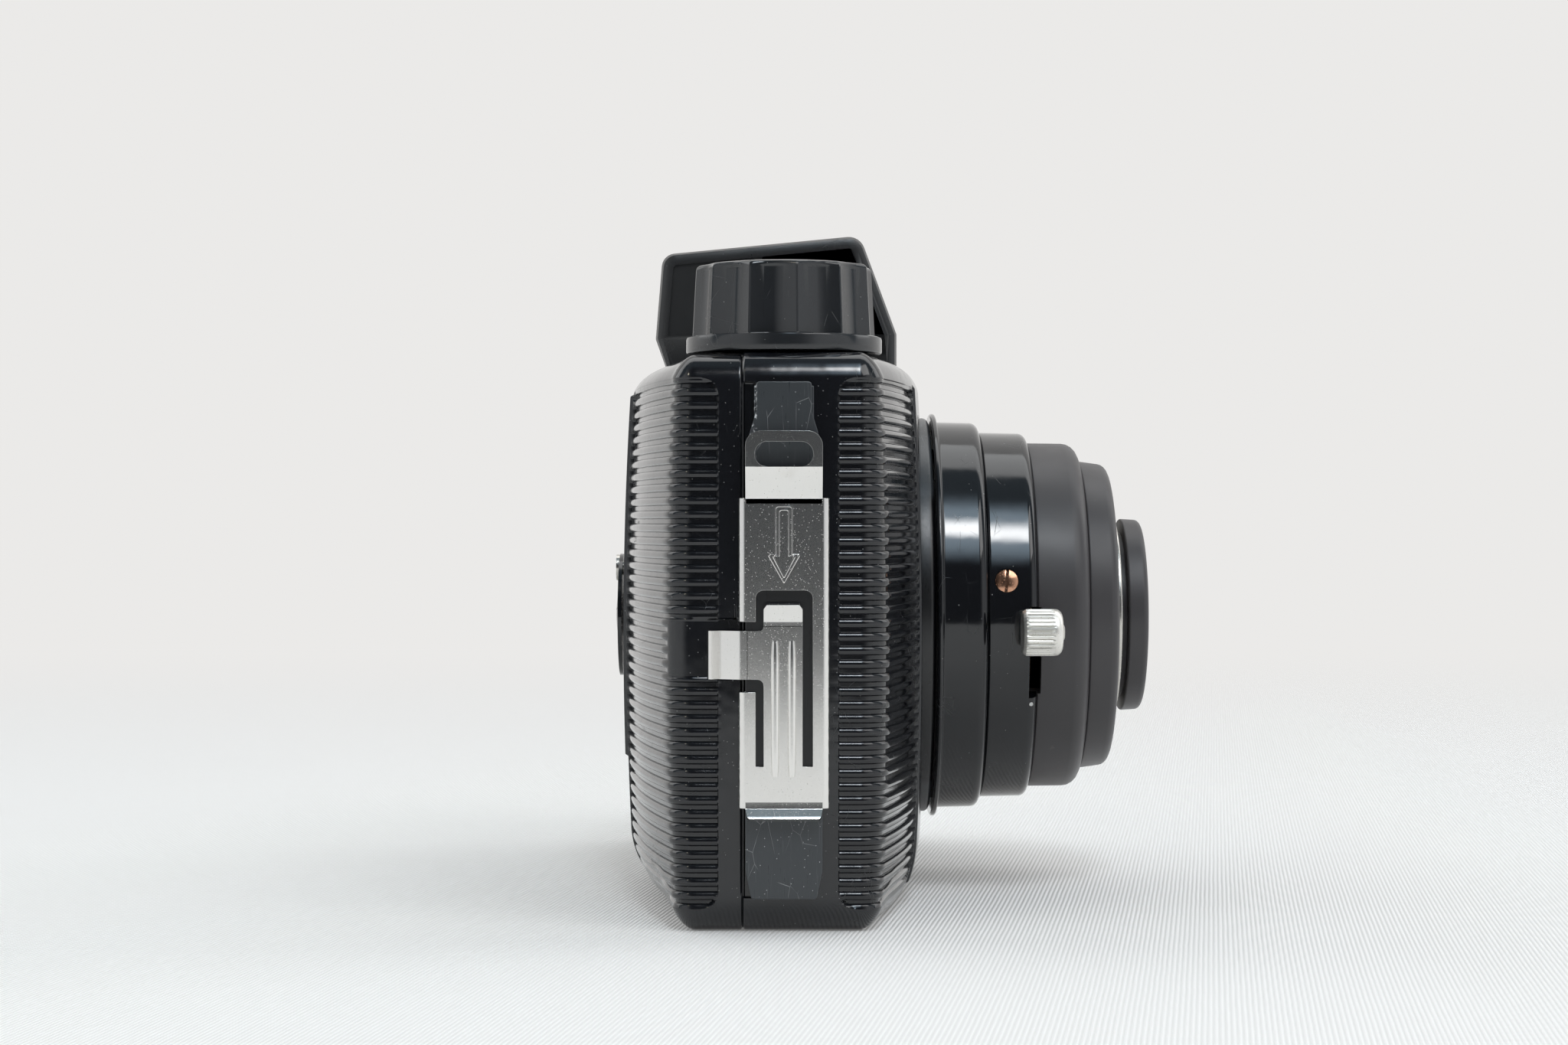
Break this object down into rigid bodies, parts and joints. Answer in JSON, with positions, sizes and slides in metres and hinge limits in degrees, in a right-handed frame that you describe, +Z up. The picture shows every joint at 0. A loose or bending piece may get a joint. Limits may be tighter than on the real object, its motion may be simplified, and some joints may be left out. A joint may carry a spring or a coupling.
{
  "type": "viewfinder roll film camera",
  "caption": "Black moulded roll film camera with ribbed halves, optical finder hump, fluted winding knob, stepped screw-out lens barrel and sliding metal side clasps.",
  "frame": {"origin": "axis of the tripod bush at the base plane", "axes": "+Z up, -Y along the lens axis towards the subject, +X towards the end without the winding knob"},
  "size_m": [0.1406, 0.0847, 0.1031],
  "materials": {
    "bakelite": "gloss",
    "matt_black": "matte",
    "nickel": "satin",
    "steel": "satin",
    "brass": "satin",
    "blackened_metal": "matte",
    "glass": "polished",
    "red_film_window": "polished",
    "white_mark": "matte"
  },
  "bodies": {
    "body": {"front_body": "bakelite", "film_gate": "blackened_metal", "gate_screws": "brass", "tripod_bush": "brass", "spool_pins": "steel", "pawl_spring": "steel", "pawl_screw": "brass", "viewfinder_housing": "bakelite", "finder_front_lens": "glass", "finder_rear_lens": "glass", "finder_rear_ring": "blackened_metal", "finder_screws": "brass", "helical_sleeve": "brass", "sleeve_screws": "brass"},
    "winder": {"winding_knob": "bakelite", "winding_shaft": "steel", "ratchet_wheel": "brass", "take_up_spool": "blackened_metal"},
    "back": {"rear_cover": "bakelite", "red_window": "red_film_window", "window_ring": "blackened_metal", "window_rivet": "nickel"},
    "window_flap": {"window_cover": "bakelite"},
    "right_catch": {"right_clasp": "nickel"},
    "left_catch": {"left_clasp": "nickel"},
    "collar": {"barrel_collar": "bakelite"},
    "barrel": {"sliding_tube": "bakelite", "drive_pins": "steel", "barrel_screws": "brass", "index_dot": "white_mark", "shutter_housing": "matt_black", "shutter_plate": "blackened_metal", "blade_pivot": "steel", "rear_lens_hub": "blackened_metal", "rear_lens": "glass", "rear_lens_ring": "blackened_metal", "lever_snap_ring": "steel", "release_spring": "steel", "front_bezel": "matt_black", "bright_rim": "nickel", "lens_ring": "matt_black", "front_lens": "glass", "lens_retainer": "blackened_metal", "aperture_pivot": "brass"},
    "release": {"release_lever": "brass", "release_stem": "brass", "release_knob": "nickel"},
    "blade": {"shutter_blade": "blackened_metal"},
    "aperture": {"aperture_lever": "blackened_metal"}
  },
  "joints": [
    {"name": "wind_turn", "type": "hinge", "parent": "body", "child": "winder", "pos_m": [-0.049, 0, 0.082], "axis": [0, 0, 1], "continuous": true},
    {"name": "rear_cover_off", "type": "slide", "parent": "body", "child": "back", "axis": [0, 1, 0], "range_m": [0, 0.05]},
    {"name": "window_cover_turn", "type": "hinge", "parent": "back", "child": "window_flap", "pos_m": [0, 0.026, 0.0505], "axis": [0, 1, 0], "range_deg": [0, 130]},
    {"name": "right_clasp_slide", "type": "slide", "parent": "body", "child": "right_catch", "axis": [0, 0, 1], "range_m": [-0.008, 0]},
    {"name": "left_clasp_slide", "type": "slide", "parent": "body", "child": "left_catch", "axis": [0, 0, 1], "range_m": [-0.008, 0]},
    {"name": "barrel_turn", "type": "hinge", "parent": "body", "child": "collar", "pos_m": [0, -0.028, 0.0429], "axis": [0, 1, 0], "range_deg": [0, 90]},
    {"name": "barrel_extend", "type": "slide", "parent": "collar", "child": "barrel", "axis": [0, -1, 0], "range_m": [0, 0.012]},
    {"name": "release_press", "type": "hinge", "parent": "barrel", "child": "release", "pos_m": [0, -0.0385, 0.0429], "axis": [0, -1, 0], "range_deg": [0, 18], "stiffness_Nm_per_rad": 0.02, "springref_deg": -17.19},
    {"name": "shutter_open", "type": "hinge", "parent": "barrel", "child": "blade", "pos_m": [0.00849, -0.0445, 0.05139], "axis": [0, 1, 0], "range_deg": [-60, 0]},
    {"name": "aperture_set", "type": "hinge", "parent": "barrel", "child": "aperture", "pos_m": [-0.015, -0.0495, 0.0429], "axis": [0, 1, 0], "range_deg": [0, 28]}
  ],
  "couplings": [
    {"joint": "barrel_extend", "follows": "barrel_turn", "m_per_rad": 0.0076394},
    {"joint": "shutter_open", "follows": "release_press", "ratio": -3.3333}
  ]
}
